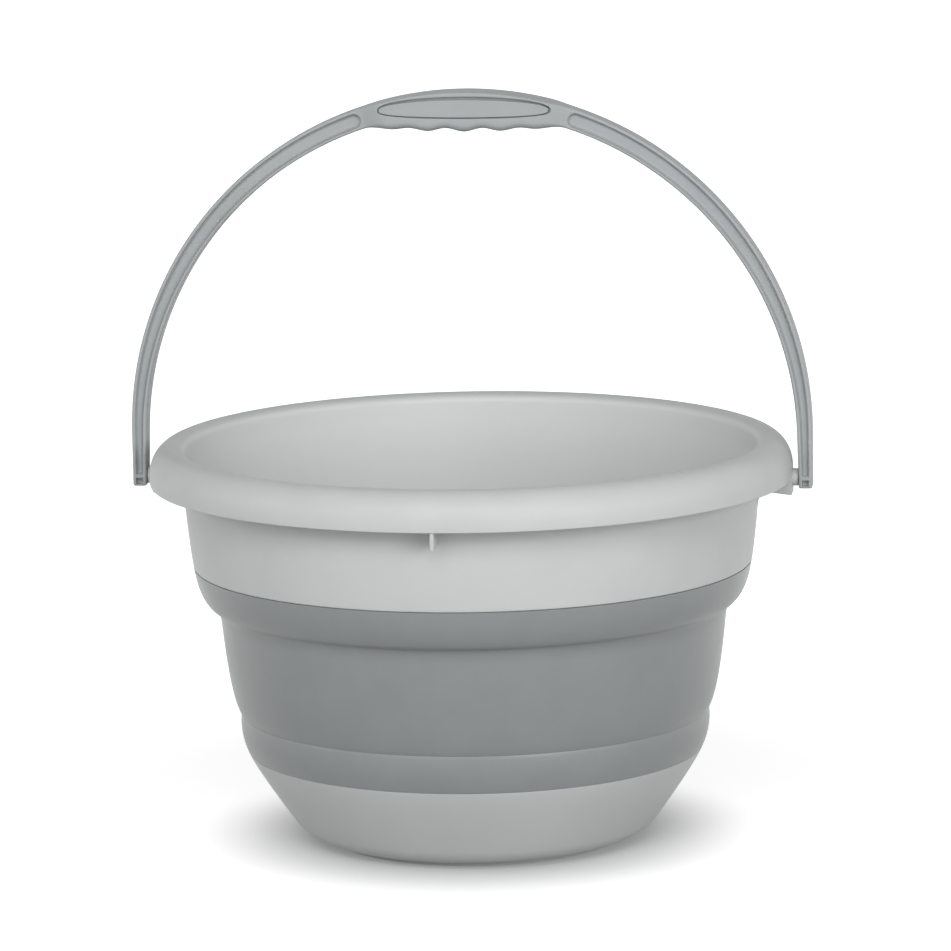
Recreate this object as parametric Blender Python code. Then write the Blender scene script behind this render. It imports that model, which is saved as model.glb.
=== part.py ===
"""Collapsible camp bucket with a folding wall and a swinging bail.

Metres, +Z up. The origin is the centre of the foot ring's underside. X runs through both bail
pivots and -Y is the front. The wall stands open and the bail upright, as when it is carried.
"""

import math

import bmesh
import bpy
from mathutils import Matrix, Vector

# Rim: a rolled flange on a stiff wall, radii on the outside and heights from the crest down
RIM_RADIUS = 0.1597
RIM_WALL = 0.0022
RIM_HEIGHT = 0.061
RIM_TAPER = 0.0052
FLANGE_WIDTH = 0.0115
FLANGE_DROP = 0.0145
FLANGE_ROOT_DROP = 0.0100
SKIRT_HEIGHT = 0.0045
LIP_WIDTH = 0.0062
LIP_DROP = 0.0050

# Folding wall: each band's height, and how far it draws in towards its lower edge
BAND_WALL = 0.0022
UPPER_BAND_HEIGHT = 0.0195
UPPER_BAND_TUCK = 0.0082
WAIST_WALL = 0.0028
WAIST_HEIGHT = 0.0091
WAIST_TUCK = 0.0050
MIDDLE_BAND_HEIGHT = 0.0464
MIDDLE_BAND_TUCK = 0.0091
LOWER_BAND_HEIGHT = 0.0190
LOWER_BAND_SHOULDER = 0.0004
SHOULDER_HEIGHT = 0.0045
LOWER_BAND_TUCK = 0.0033

# Base: a bowl on a foot ring
BASE_HEIGHT = 0.0450
BASE_WALL = 0.0024
BOWL_TUCK = 0.0280
HEEL_RADIUS = 0.0200
FOOT_INSET = 0.0113
FOOT_WALL = 0.0027
FOOT_HEIGHT = 0.0022

# Lap joints, where the stiff rim and base run up inside a thinned edge of the soft wall
LAP_HEIGHT = 0.0050
LAP_SKIN = 0.0011

# Ears that carry the bail, under the flange at +X and -X, and the gussets at the front and back
EAR_PLATE = 0.0022
EAR_WIDTH = 0.0130
EAR_DROP = 0.0083
GUSSET_WALL = 0.0020
RIB_WALL = 0.0022
RIB_DROP = 0.0088
BOSS_RADIUS = 0.00435
BOSS_LENGTH = 0.0029
BORE_RADIUS = 0.0029

# Bail: two channelled arms that bend over into a scalloped grip
BAIL_RISE = 0.0225
ARM_END = 0.0050
ARM_FOOT_WIDTH = 0.0068
ARM_TOP_WIDTH = 0.0104
ARM_DEPTH = 0.0120
ARM_EDGE = 0.0013
CHANNEL_DEPTH = 0.0035
CHANNEL_BORDER = 0.0019
TIP_BORDER = 0.0012
CHANNEL_GRIP_GAP = 0.0070
CROSS_RIB = 0.0018
GRIP_LENGTH = 0.0955
GRIP_DEPTH = 0.0200
GRIP_SAG = 0.0009
GRIP_BLEND = 0.0140
SCALLOP_PITCH = 0.0185
SCALLOP_DEPTH = 0.0020
PEG_RADIUS = 0.0026
PEG_HEAD_LIP = 0.0008
PEG_HEAD_LENGTH = 0.0028
INLAY_LENGTH = 0.0840
INLAY_RISE = 0.0056
INLAY_FALL = 0.0038
INLAY_DROP = 0.0089
INLAY_THICKNESS = 0.0012
INLAY_RECESS = 0.0006
INLAY_GROOVE = 0.0005
INLAY_EDGE = 0.0003

# Clearance between pieces that touch, the reach of a cutter past its face, and the weld distance
GAP = 0.0003
OVERRUN = 0.0020
WELD = 0.00001

# Shares of the way along each band, in radius and height, where its curve's middle handle lies
RIM_BOW_SHARES = (0.43, 0.25)
UPPER_BOW_SHARES = (0.735, 0.24)
WAIST_BOW_SHARES = (0.18, 0.90)
MIDDLE_BOW_SHARES = (0.585, 0.16)
SHOULDER_BOW_SHARES = (0.0, 0.69)
LOWER_BOW_SHARES = (1.0, 0.48)
BOWL_BOW_SHARES = (0.875, 0.81)
LIP_BOW_SHARES = (0.14, 0.96)
ROOT_BOW_SHARES = (0.08, 0.93)
STRETCH_CAP_SHARE = 1.5
PLATE_TOP_SHARE = 0.17
ARM_SWELL_SHARE = 1.9
INLAY_RISE_SHARE = 0.92
INLAY_FALL_SHARE = 0.62

RING_STEPS = 56
BORE_STEPS = 20
CURVE_STEPS = 24
FLANGE_STEPS = 6
LIP_STEPS = 3
HEEL_STEPS = 4
BEND_STEPS = 10
GRIP_STEPS = 26
INLAY_STEPS = 32

# Heights of the joints between the bands, from the foot up
SEAM_LOW_Z = BASE_HEIGHT
SHOULDER_Z = SEAM_LOW_Z + LOWER_BAND_HEIGHT - SHOULDER_HEIGHT
CREASE_LOW_Z = SEAM_LOW_Z + LOWER_BAND_HEIGHT
WAIST_LOW_Z = CREASE_LOW_Z + MIDDLE_BAND_HEIGHT
WAIST_TOP_Z = WAIST_LOW_Z + WAIST_HEIGHT
SEAM_TOP_Z = WAIST_TOP_Z + UPPER_BAND_HEIGHT
CREST_Z = SEAM_TOP_Z + RIM_HEIGHT
ROOT_Z = CREST_Z - FLANGE_ROOT_DROP
SKIRT_TOP_Z = CREST_Z - FLANGE_DROP
SKIRT_Z = SKIRT_TOP_Z - SKIRT_HEIGHT

# Outside radii at those joints, from the rim down
CREST_RADIUS = RIM_RADIUS - FLANGE_WIDTH
LIP_RADIUS = CREST_RADIUS - LIP_WIDTH
ROOT_RADIUS = LIP_RADIUS + RIM_WALL
SEAM_TOP_RADIUS = ROOT_RADIUS - RIM_TAPER
WAIST_TOP_RADIUS = SEAM_TOP_RADIUS - UPPER_BAND_TUCK
WAIST_LOW_RADIUS = WAIST_TOP_RADIUS - WAIST_TUCK
CREASE_LOW_RADIUS = WAIST_LOW_RADIUS - MIDDLE_BAND_TUCK
SHOULDER_RADIUS = CREASE_LOW_RADIUS + LOWER_BAND_SHOULDER
SEAM_LOW_RADIUS = SHOULDER_RADIUS - LOWER_BAND_TUCK
HEEL_CORNER_RADIUS = SEAM_LOW_RADIUS - BOWL_TUCK
FOOT_RADIUS = HEEL_CORNER_RADIUS - FOOT_INSET

# The heel is an arc that meets the flat bottom and the bowl's side, which leaves the heel's
# corner straight towards its handle and bends there to the low seam
BOWL_HANDLE = (HEEL_CORNER_RADIUS + BOWL_TUCK * BOWL_BOW_SHARES[0],
               FOOT_HEIGHT + (BASE_HEIGHT - FOOT_HEIGHT) * BOWL_BOW_SHARES[1])
BOWL_ANGLE = math.atan2(BOWL_HANDLE[1] - FOOT_HEIGHT, BOWL_HANDLE[0] - HEEL_CORNER_RADIUS)
HEEL_CENTRE_RADIUS = HEEL_CORNER_RADIUS - HEEL_RADIUS * math.tan(BOWL_ANGLE / 2)
HEEL_CENTRE_Z = FOOT_HEIGHT + HEEL_RADIUS
HEEL_TOP_RADIUS = HEEL_CENTRE_RADIUS + HEEL_RADIUS * math.sin(BOWL_ANGLE)
HEEL_TOP_Z = HEEL_CENTRE_Z - HEEL_RADIUS * math.cos(BOWL_ANGLE)

# The bail hangs on pegs that turn in the ears' bosses, level with the skirt's lower edge
PIVOT_Z = SKIRT_Z
EAR_FACE = RIM_RADIUS
ARM_INSIDE = EAR_FACE + BOSS_LENGTH + GAP
BAIL_RADIUS = ARM_INSIDE + ARM_FOOT_WIDTH
GRIP_ANGLE = math.acos(GRIP_LENGTH / 2 / BAIL_RADIUS)
GRIP_FLOOR = math.sqrt((BAIL_RADIUS - ARM_TOP_WIDTH) ** 2 - (GRIP_LENGTH / 2) ** 2)
ARM_LENGTH = BAIL_RISE + BAIL_RADIUS * GRIP_ANGLE

RIM_GREY = (0.552, 0.571, 0.558)
BASE_GREY = (0.520, 0.545, 0.540)
BAIL_GREY = (0.376, 0.402, 0.402)
INLAY_GREY = (0.366, 0.397, 0.392)
SOFT_GREY = (0.227, 0.246, 0.246)


def curve(start, handle, end, steps):
    """Points of a curve from start to end, bent towards a handle."""
    points = []
    for step in range(steps + 1):
        t = step / steps
        point = [(1 - t) ** 2 * a + 2 * t * (1 - t) * h + t ** 2 * b
                 for a, h, b in zip(start, handle, end)]
        points.append(tuple(point))
    return points


def bow(start, end, shares, steps):
    """Points of a curve from start to end, with its handle at the shares of the way."""
    handle = [a + (b - a) * share for a, b, share in zip(start, end, shares)]
    return curve(start, handle, end, steps)


def wall_outside():
    """The open wall's outside from the heel to the flange's root, as (radius, height) points."""
    joints = [
        ((SEAM_LOW_RADIUS, SEAM_LOW_Z), LOWER_BOW_SHARES),
        ((SHOULDER_RADIUS, SHOULDER_Z), SHOULDER_BOW_SHARES),
        ((CREASE_LOW_RADIUS, CREASE_LOW_Z), MIDDLE_BOW_SHARES),
        ((WAIST_LOW_RADIUS, WAIST_LOW_Z), WAIST_BOW_SHARES),
        ((WAIST_TOP_RADIUS, WAIST_TOP_Z), UPPER_BOW_SHARES),
        ((SEAM_TOP_RADIUS, SEAM_TOP_Z), RIM_BOW_SHARES),
        ((ROOT_RADIUS, ROOT_Z), None),
    ]
    points = curve((HEEL_TOP_RADIUS, HEEL_TOP_Z), BOWL_HANDLE, joints[0][0], CURVE_STEPS)
    for (start, shares), (end, _) in zip(joints, joints[1:]):
        points += bow(start, end, shares, CURVE_STEPS)
    return points


WALL_OUTSIDE = wall_outside()


def wall_point(height, depth, from_above):
    """The point at a height that lies depth inside the wall's outside, square to the wall.

    At a crease two bands meet at an angle, and from_above says which band's slope counts.
    """
    pairs = list(zip(WALL_OUTSIDE, WALL_OUTSIDE[1:]))
    if from_above:
        pairs.reverse()
    for (r0, z0), (r1, z1) in pairs:
        if z0 - WELD <= height <= z1 + WELD and z1 - z0 > 0:
            slope = (r1 - r0) / (z1 - z0)
            stretch = min(math.sqrt(1 + slope ** 2), STRETCH_CAP_SHARE)
            return (r0 + slope * (height - z0) - depth * stretch, height)
    raise ValueError("height outside the wall")


def wall_run(low, high, depth, steps):
    """Points up the wall from low to high, depth inside its outside."""
    heights = [low + (high - low) * step / steps for step in range(steps + 1)]
    return [wall_point(z, depth, from_above=z < (low + high) / 2) for z in heights]


def flange_run(inset, steps):
    """Points of the flange's curve from the skirt's top to the crest, inset below its face."""
    points = []
    for step in range(steps + 1):
        angle = math.pi / 2 * step / steps
        radius = CREST_RADIUS + (FLANGE_WIDTH - inset) * math.cos(angle)
        points.append((radius, SKIRT_TOP_Z + (FLANGE_DROP - inset) * math.sin(angle)))
    return points


def heel_run(radius, start_angle, steps):
    """Points round the heel from start_angle, measured from straight down, to the bowl's side."""
    points = []
    for step in range(steps + 1):
        angle = start_angle + (BOWL_ANGLE - start_angle) * step / steps
        points.append((HEEL_CENTRE_RADIUS + radius * math.sin(angle),
                       HEEL_CENTRE_Z - radius * math.cos(angle)))
    return points


def new_object(name, bm, colour, roughness):
    """Makes a mesh object from a bmesh, with its own material, shaded smooth between creases."""
    bmesh.ops.remove_doubles(bm, verts=bm.verts, dist=WELD)
    bmesh.ops.recalc_face_normals(bm, faces=bm.faces)
    mesh = bpy.data.meshes.new(name)
    bm.to_mesh(mesh)
    bm.free()
    mesh.shade_smooth()
    mesh.set_sharp_from_angle(angle=math.radians(35))
    obj = bpy.data.objects.new(name, mesh)
    bpy.context.scene.collection.objects.link(obj)
    material = bpy.data.materials.new(name)
    material.use_nodes = True
    shader = material.node_tree.nodes["Principled BSDF"]
    shader.inputs["Base Color"].default_value = (*colour, 1)
    shader.inputs["Roughness"].default_value = roughness
    shader.inputs["Metallic"].default_value = 0
    mesh.materials.append(material)
    return obj


def new_helper(name, bm):
    """Makes a cutter or an addition that only feeds another piece's modifiers."""
    obj = new_object(name, bm, BAIL_GREY, 1)
    obj.hide_render = True
    obj.display_type = "WIRE"
    return obj


def combine(obj, helper, operation):
    """Adds a Boolean of obj with a helper."""
    modifier = obj.modifiers.new(helper.name, "BOOLEAN")
    modifier.operation = operation
    modifier.solver = "EXACT"
    modifier.object = helper


def new_frame(name, height, parent):
    """Makes an empty on the bucket's axis that carries the pieces of one moving body."""
    frame = bpy.data.objects.new(name, None)
    bpy.context.scene.collection.objects.link(frame)
    frame.parent = parent
    frame.location = (0, 0, height - (parent.matrix_world.translation.z if parent else 0))
    bpy.context.view_layer.update()
    return frame


def carry(frame, *pieces):
    """Parents pieces modelled in place to a frame, and moves their origins onto it."""
    for piece in pieces:
        piece.data.transform(Matrix.Translation(-frame.matrix_world.translation))
        piece.parent = frame


def spin_profile(bm, profile, closed, steps):
    """Spins (radius, height) points once round Z. An open profile starts and ends on the axis."""
    verts = [bm.verts.new((radius, 0, height)) for radius, height in profile]
    pairs = list(zip(verts, verts[1:]))
    if closed:
        pairs.append((verts[-1], verts[0]))
    edges = [bm.edges.new(pair) for pair in pairs]
    bmesh.ops.spin(bm, geom=verts + edges, cent=(0, 0, 0), axis=(0, 0, 1),
                   angle=2 * math.pi, steps=steps, use_merge=True)


def turned(name, profile, colour, roughness, closed=True):
    """Makes a turned piece round the bucket's axis."""
    bm = bmesh.new()
    spin_profile(bm, profile, closed, RING_STEPS)
    return new_object(name, bm, colour, roughness)


def add_prism(bm, outline, low, high):
    """Adds an outline of (x, z) points as a prism from y = low to y = high."""
    face = bm.faces.new([bm.verts.new((x, low, z)) for x, z in outline])
    grown = bmesh.ops.extrude_face_region(bm, geom=[face])
    verts = [item for item in grown["geom"] if isinstance(item, bmesh.types.BMVert)]
    bmesh.ops.translate(bm, verts=verts, vec=(0, high - low, 0))
    return list({vert for vert in face.verts} | set(verts))


def add_loft(bm, sections):
    """Adds a closed body through a row of sections with equal counts of points."""
    loops = [[bm.verts.new(point) for point in section] for section in sections]
    for lower, upper in zip(loops, loops[1:]):
        for index in range(len(lower)):
            bm.faces.new((lower[index - 1], lower[index], upper[index], upper[index - 1]))
    bm.faces.new(loops[0])
    bm.faces.new(loops[-1][::-1])


def make_base_shell():
    """The bowl, its foot ring, and the tongue that the lower band laps."""
    foot_angle = math.asin((FOOT_RADIUS - HEEL_CENTRE_RADIUS) / HEEL_RADIUS)
    profile = [(0, FOOT_HEIGHT), (FOOT_RADIUS - FOOT_WALL, FOOT_HEIGHT),
               (FOOT_RADIUS - FOOT_WALL, 0), (FOOT_RADIUS, 0)]
    inner_heel = heel_run(HEEL_RADIUS - BASE_WALL, 0, HEEL_STEPS)
    profile += heel_run(HEEL_RADIUS, foot_angle, HEEL_STEPS)
    profile += wall_run(HEEL_TOP_Z, SEAM_LOW_Z, 0, 3)[1:-1]
    profile += [wall_point(SEAM_LOW_Z, 0, from_above=False),
                wall_point(SEAM_LOW_Z, LAP_SKIN + GAP, from_above=True)]
    profile += wall_run(SEAM_LOW_Z, SEAM_LOW_Z + LAP_HEIGHT, LAP_SKIN + GAP, 1)[1:]
    profile += wall_run(SEAM_LOW_Z, SEAM_LOW_Z + LAP_HEIGHT, BASE_WALL, 1)[:0:-1]
    profile += [wall_point(SEAM_LOW_Z, BASE_WALL, from_above=False)]
    profile += wall_run(inner_heel[-1][1], SEAM_LOW_Z, BASE_WALL, 3)[2:0:-1]
    profile += inner_heel[::-1]
    profile += [(0, FOOT_HEIGHT + BASE_WALL)]
    return turned("base_shell", profile, BASE_GREY, 0.42, closed=False)


def make_lower_band():
    """The soft band over the base's tongue, with the rounded shoulder under the low crease."""
    lap_z = SEAM_LOW_Z + LAP_HEIGHT + GAP
    top_z = CREASE_LOW_Z - GAP
    profile = wall_run(SEAM_LOW_Z + GAP, SHOULDER_Z, 0, 4)
    profile += wall_run(SHOULDER_Z, top_z, 0, 2)[1:]
    profile += wall_run(lap_z, top_z, BAND_WALL, 2)[::-1]
    profile += wall_run(SEAM_LOW_Z + GAP, lap_z, LAP_SKIN, 1)[::-1]
    return turned("lower_band", profile, SOFT_GREY, 0.5)


def make_middle_band():
    """The tall soft band that turns inside out when the bucket folds."""
    profile = wall_run(CREASE_LOW_Z, WAIST_LOW_Z - GAP, 0, 6)
    profile += wall_run(CREASE_LOW_Z, WAIST_LOW_Z - GAP, BAND_WALL, 6)[::-1]
    return turned("middle_band", profile, SOFT_GREY, 0.5)


def make_waist_ring():
    """The thicker soft ring at the upper crease, which keeps its round shape in the fold."""
    profile = wall_run(WAIST_LOW_Z, WAIST_TOP_Z - GAP, 0, 5)
    profile += wall_run(WAIST_LOW_Z, WAIST_TOP_Z - GAP, WAIST_WALL, 2)[::-1]
    return turned("waist_ring", profile, SOFT_GREY, 0.5)


def make_upper_band():
    """The soft band that bulges in from the rim to the waist and laps the rim's tongue."""
    lap_z = SEAM_TOP_Z - LAP_HEIGHT - GAP
    profile = wall_run(WAIST_TOP_Z, SEAM_TOP_Z - GAP, 0, 6)
    profile += wall_run(lap_z, SEAM_TOP_Z - GAP, LAP_SKIN, 1)[::-1]
    profile += wall_run(WAIST_TOP_Z, lap_z, BAND_WALL, 3)[::-1]
    return turned("upper_band", profile, SOFT_GREY, 0.5)


def rim_profile():
    """The rim's section: wall, rolled flange with a hollow under it, lip and lapped tongue."""
    tongue_z = SEAM_TOP_Z - LAP_HEIGHT
    flange_root = (ROOT_RADIUS, ROOT_Z)
    lip = (LIP_RADIUS, CREST_Z - LIP_DROP)
    profile = wall_run(SEAM_TOP_Z, ROOT_Z, 0, 4)
    profile += bow(flange_root, flange_run(RIM_WALL, 1)[-1], ROOT_BOW_SHARES, LIP_STEPS)[1:-1]
    profile += flange_run(RIM_WALL, FLANGE_STEPS - 1)[::-1]
    profile += [(RIM_RADIUS - RIM_WALL, SKIRT_Z), (RIM_RADIUS, SKIRT_Z)]
    profile += flange_run(0, FLANGE_STEPS)
    profile += bow((CREST_RADIUS, CREST_Z), lip, LIP_BOW_SHARES[::-1], LIP_STEPS)[1:]
    profile += wall_run(SEAM_TOP_Z, ROOT_Z, RIM_WALL, 3)[-2::-1]
    profile += wall_run(tongue_z, SEAM_TOP_Z, RIM_WALL, 2)[1::-1]
    profile += wall_run(tongue_z, SEAM_TOP_Z, LAP_SKIN + GAP, 2)
    return profile


def flange_middle():
    """Points along the middle of the rim's thickness, from the wall over to the skirt."""
    points = [(ROOT_RADIUS - RIM_WALL / 2, ROOT_Z)]
    points += flange_run(RIM_WALL / 2, FLANGE_STEPS)[::-1]
    return points


def add_gusset(bm, angle, offset, wall, low_wall_z, low_skirt_z, reach):
    """Adds an upright web that fills the hollow between the wall and the skirt."""
    foot = wall_point(low_wall_z, RIM_WALL / 2, from_above=False)
    outline = [foot] + flange_middle() + [(reach, SKIRT_Z), (reach, low_skirt_z)]
    verts = add_prism(bm, outline, offset - wall / 2, offset + wall / 2)
    bmesh.ops.rotate(bm, verts=verts, cent=(0, 0, 0), matrix=Matrix.Rotation(angle, 3, "Z"))


def add_cylinder_x(bm, radius, start, end, height, steps):
    """Adds a cylinder along X from start to end at a height."""
    place = Matrix.Translation(((start + end) / 2, 0, height)) @ Matrix.Rotation(math.pi / 2, 4, "Y")
    bmesh.ops.create_cone(bm, cap_ends=True, segments=steps, radius1=radius, radius2=radius,
                          depth=abs(end - start), matrix=place)


def make_rim_ring():
    """The stiff rim, with an ear and a bored boss at each side and a gusset front and back."""
    rim = turned("rim_ring", rim_profile(), RIM_GREY, 0.42)
    skirt_middle = RIM_RADIUS - RIM_WALL / 2
    ear_low_z = PIVOT_Z - EAR_DROP
    plate_top_z = SKIRT_TOP_Z + FLANGE_DROP * PLATE_TOP_SHARE
    plates, webs, bosses, bores = bmesh.new(), bmesh.new(), bmesh.new(), bmesh.new()
    for side in (1, -1):
        outline = [(side * (EAR_FACE - EAR_PLATE), ear_low_z), (side * EAR_FACE, ear_low_z),
                   (side * EAR_FACE, plate_top_z), (side * (EAR_FACE - EAR_PLATE), plate_top_z)]
        add_prism(plates, outline, -EAR_WIDTH / 2, EAR_WIDTH / 2)
        turn = 0 if side > 0 else math.pi
        web_offset = (EAR_WIDTH - GUSSET_WALL) / 2 - GAP
        for offset in (-web_offset, web_offset):
            add_gusset(webs, turn, offset, GUSSET_WALL, ear_low_z + GAP, ear_low_z + GAP,
                       EAR_FACE - EAR_PLATE / 2)
        add_gusset(plates, side * math.pi / 2, 0, RIB_WALL, SKIRT_Z - RIB_DROP,
                   SKIRT_Z - RIB_DROP, skirt_middle)
        add_cylinder_x(bosses, BOSS_RADIUS, side * (EAR_FACE - EAR_PLATE / 2),
                       side * (EAR_FACE + BOSS_LENGTH), PIVOT_Z, BORE_STEPS)
        add_cylinder_x(bores, BORE_RADIUS, side * (EAR_FACE - EAR_PLATE - OVERRUN),
                       side * (EAR_FACE + BOSS_LENGTH + OVERRUN), PIVOT_Z, BORE_STEPS)
    helpers = [new_helper("add_ear_plates", plates), new_helper("add_ear_webs", webs),
               new_helper("add_bosses", bosses)]
    for helper in helpers:
        combine(rim, helper, "UNION")
    bore_cutter = new_helper("cut_bores", bores)
    combine(rim, bore_cutter, "DIFFERENCE")
    return [rim, *helpers, bore_cutter]


def arm_width(length):
    """An arm's width in the bail's plane at a length up from its pivot."""
    share = min(max(length / ARM_LENGTH, 0), 1)
    swell = 1 - (1 - share) ** ARM_SWELL_SHARE
    return ARM_FOOT_WIDTH + (ARM_TOP_WIDTH - ARM_FOOT_WIDTH) * swell


def grip_underside(x):
    """The height of the grip's scalloped underside above the bail's bend centre."""
    half = GRIP_LENGTH / 2
    fade = max(1 - (x / half) ** 2, 0)
    scallop = SCALLOP_DEPTH / 2 * (1 + math.cos(2 * math.pi * x / SCALLOP_PITCH))
    return GRIP_FLOOR - fade * GRIP_SAG - math.sqrt(fade) * (scallop - SCALLOP_DEPTH / 2)


def smooth(share):
    """A step that eases from 0 to 1."""
    share = min(max(share, 0), 1)
    return share * share * (3 - 2 * share)


def bail_frame(length):
    """The outer point, inward direction, width and depth of the bail, length along it.

    The length is measured along the outside from one pivot, and runs on over the grip.
    """
    bend = math.pi * BAIL_RADIUS
    if length <= BAIL_RISE:
        point, inward = Vector((BAIL_RADIUS, 0, PIVOT_Z + length)), Vector((-1, 0, 0))
    elif length >= BAIL_RISE + bend:
        rise = 2 * BAIL_RISE + bend - length
        point, inward = Vector((-BAIL_RADIUS, 0, PIVOT_Z + rise)), Vector((1, 0, 0))
    else:
        angle = (length - BAIL_RISE) / BAIL_RADIUS
        outward = Vector((math.cos(angle), 0, math.sin(angle)))
        point, inward = outward * BAIL_RADIUS + Vector((0, 0, PIVOT_Z + BAIL_RISE)), -outward
    from_foot = min(length, 2 * BAIL_RISE + bend - length)
    width = arm_width(from_foot)
    past_arm = from_foot - ARM_LENGTH
    if past_arm > 0:
        floor_x = point.x * GRIP_FLOOR / (point.z - PIVOT_Z - BAIL_RISE)
        width = BAIL_RADIUS + grip_underside(floor_x) / inward.z
    depth = ARM_DEPTH + (GRIP_DEPTH - ARM_DEPTH) * smooth(past_arm / GRIP_BLEND + 1 / 2)
    return point, inward, width, depth


def bail_stations():
    """Lengths along the bail at which its section is taken, denser round the grip."""
    bend = math.pi * BAIL_RADIUS
    total = 2 * BAIL_RISE + bend
    arm = [-ARM_END, -ARM_END + ARM_EDGE, 0]
    arm += [BAIL_RISE + (ARM_LENGTH - BAIL_RISE - GRIP_BLEND / 2) * step / BEND_STEPS
            for step in range(BEND_STEPS + 1)]
    grip_start = ARM_LENGTH - GRIP_BLEND / 4
    grip = [grip_start + (total - 2 * grip_start) * step / GRIP_STEPS
            for step in range(GRIP_STEPS + 1)]
    return arm + grip + [total - length for length in reversed(arm)]


def bail_section(length, end_inset):
    """The bail's eight-sided section at a length, drawn in by end_inset at the arms' tips."""
    point, inward, width, depth = bail_frame(length)
    half = depth / 2 - end_inset
    corners = [(end_inset + ARM_EDGE, half), (end_inset, half - ARM_EDGE),
               (end_inset, ARM_EDGE - half), (end_inset + ARM_EDGE, -half)]
    corners += [(width - across, -side) for across, side in corners]
    return [point + inward * across + Vector((0, side, 0)) for across, side in corners]


def add_channel(bm, side, face, low, high):
    """Adds the cutter of one recess along an arm, from low to high, with a round upper end."""
    sections = []
    for step in range(BEND_STEPS + 1):
        length = low + (high - low) * step / BEND_STEPS
        sections.append((length, 1))
    tip = (arm_width(high) - 2 * CHANNEL_BORDER) / 2
    for step in range(1, HEEL_STEPS):
        angle = math.pi / 2 * step / HEEL_STEPS
        sections.append((high + tip * math.sin(angle), math.cos(angle)))
    loops = []
    for length, taper in sections:
        point, inward, width, _ = bail_frame(length)
        half = (width / 2 - CHANNEL_BORDER) * taper
        floor = face * (ARM_DEPTH / 2 - CHANNEL_DEPTH)
        mouth = face * (GRIP_DEPTH / 2 + OVERRUN)
        corners = [(width / 2 - half, floor), (width / 2 + half, floor),
                   (width / 2 + half, mouth), (width / 2 - half, mouth)]
        loops.append([Vector((side * place.x, place.y, place.z)) for place in
                      (point + inward * across + Vector((0, y, 0)) for across, y in corners)])
    add_loft(bm, loops)


def inlay_outline(margin):
    """The lens outline of an inlay on the grip's face, grown by a margin."""
    centre_z = PIVOT_Z + BAIL_RISE + BAIL_RADIUS - INLAY_DROP
    outline = []
    for step in range(INLAY_STEPS):
        angle = 2 * math.pi * step / INLAY_STEPS
        x = (INLAY_LENGTH / 2 + margin) * math.cos(angle)
        if math.sin(angle) >= 0:
            z = (INLAY_RISE + margin) * math.sin(angle) ** INLAY_RISE_SHARE
        else:
            z = -(INLAY_FALL + margin) * (-math.sin(angle)) ** INLAY_FALL_SHARE
        outline.append((x, centre_z + z))
    return outline


def on_grip_face(edge):
    """Whether both faces at an edge lie in one of the grip's two flat faces."""
    return all(abs(abs(vert.co.y) - GRIP_DEPTH / 2) < WELD
               for face in edge.link_faces for vert in face.verts)


def make_bail():
    """The bail: channelled arms, a scalloped grip, inlay pockets, and snap pegs at its feet."""
    body = bmesh.new()
    stations = bail_stations()
    insets = [ARM_EDGE] + [0] * (len(stations) - 2) + [ARM_EDGE]
    add_loft(body, [bail_section(length, inset) for length, inset in zip(stations, insets)])
    flat = [edge for edge in body.edges if on_grip_face(edge)]
    bmesh.ops.dissolve_edges(body, edges=flat, use_verts=False)
    bail = new_object("bail", body, BAIL_GREY, 0.42)

    recesses = bmesh.new()
    pocket_low = TIP_BORDER - ARM_END
    arm_top = ARM_LENGTH - CHANNEL_GRIP_GAP - ARM_TOP_WIDTH / 2 + CHANNEL_BORDER
    for side in (1, -1):
        for face in (1, -1):
            add_channel(recesses, side, face, CROSS_RIB / 2, arm_top)
            x_low, x_high = ARM_INSIDE + CHANNEL_BORDER, BAIL_RADIUS - CHANNEL_BORDER
            low, high = PIVOT_Z + pocket_low, PIVOT_Z - CROSS_RIB / 2
            outline = [(side * x_low, low), (side * x_high, low),
                       (side * x_high, high), (side * x_low, high)]
            floor, mouth = face * (ARM_DEPTH / 2 - CHANNEL_DEPTH), face * (ARM_DEPTH / 2 + OVERRUN)
            add_prism(recesses, outline, *sorted((floor, mouth)))
    for face in (1, -1):
        floor = face * (GRIP_DEPTH / 2 - INLAY_RECESS - INLAY_THICKNESS - GAP)
        mouth = face * (GRIP_DEPTH / 2 + OVERRUN)
        add_prism(recesses, inlay_outline(INLAY_GROOVE), *sorted((floor, mouth)))
    cutter = new_helper("cut_recesses", recesses)
    combine(bail, cutter, "DIFFERENCE")

    pegs = bmesh.new()
    head_x = EAR_FACE - EAR_PLATE - GAP
    head_radius = PEG_RADIUS + PEG_HEAD_LIP
    profile = [(0, ARM_INSIDE + CHANNEL_BORDER / 2), (PEG_RADIUS, ARM_INSIDE + CHANNEL_BORDER / 2),
               (PEG_RADIUS, head_x), (head_radius, head_x), (head_radius, head_x - PEG_HEAD_LENGTH / 2),
               (PEG_RADIUS - PEG_HEAD_LIP, head_x - PEG_HEAD_LENGTH), (0, head_x - PEG_HEAD_LENGTH)]
    for side in (1, -1):
        peg = bmesh.new()
        spin_profile(peg, profile, False, BORE_STEPS)
        lay_down = Matrix.Translation((0, 0, PIVOT_Z)) @ Matrix.Rotation(side * math.pi / 2, 4, "Y")
        bmesh.ops.transform(peg, matrix=lay_down, verts=peg.verts)
        shape = bpy.data.meshes.new("peg")
        peg.to_mesh(shape)
        peg.free()
        pegs.from_mesh(shape)
        bpy.data.meshes.remove(shape)
    adder = new_helper("add_pegs", pegs)
    combine(bail, adder, "UNION")
    return [bail, cutter, adder]


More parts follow.
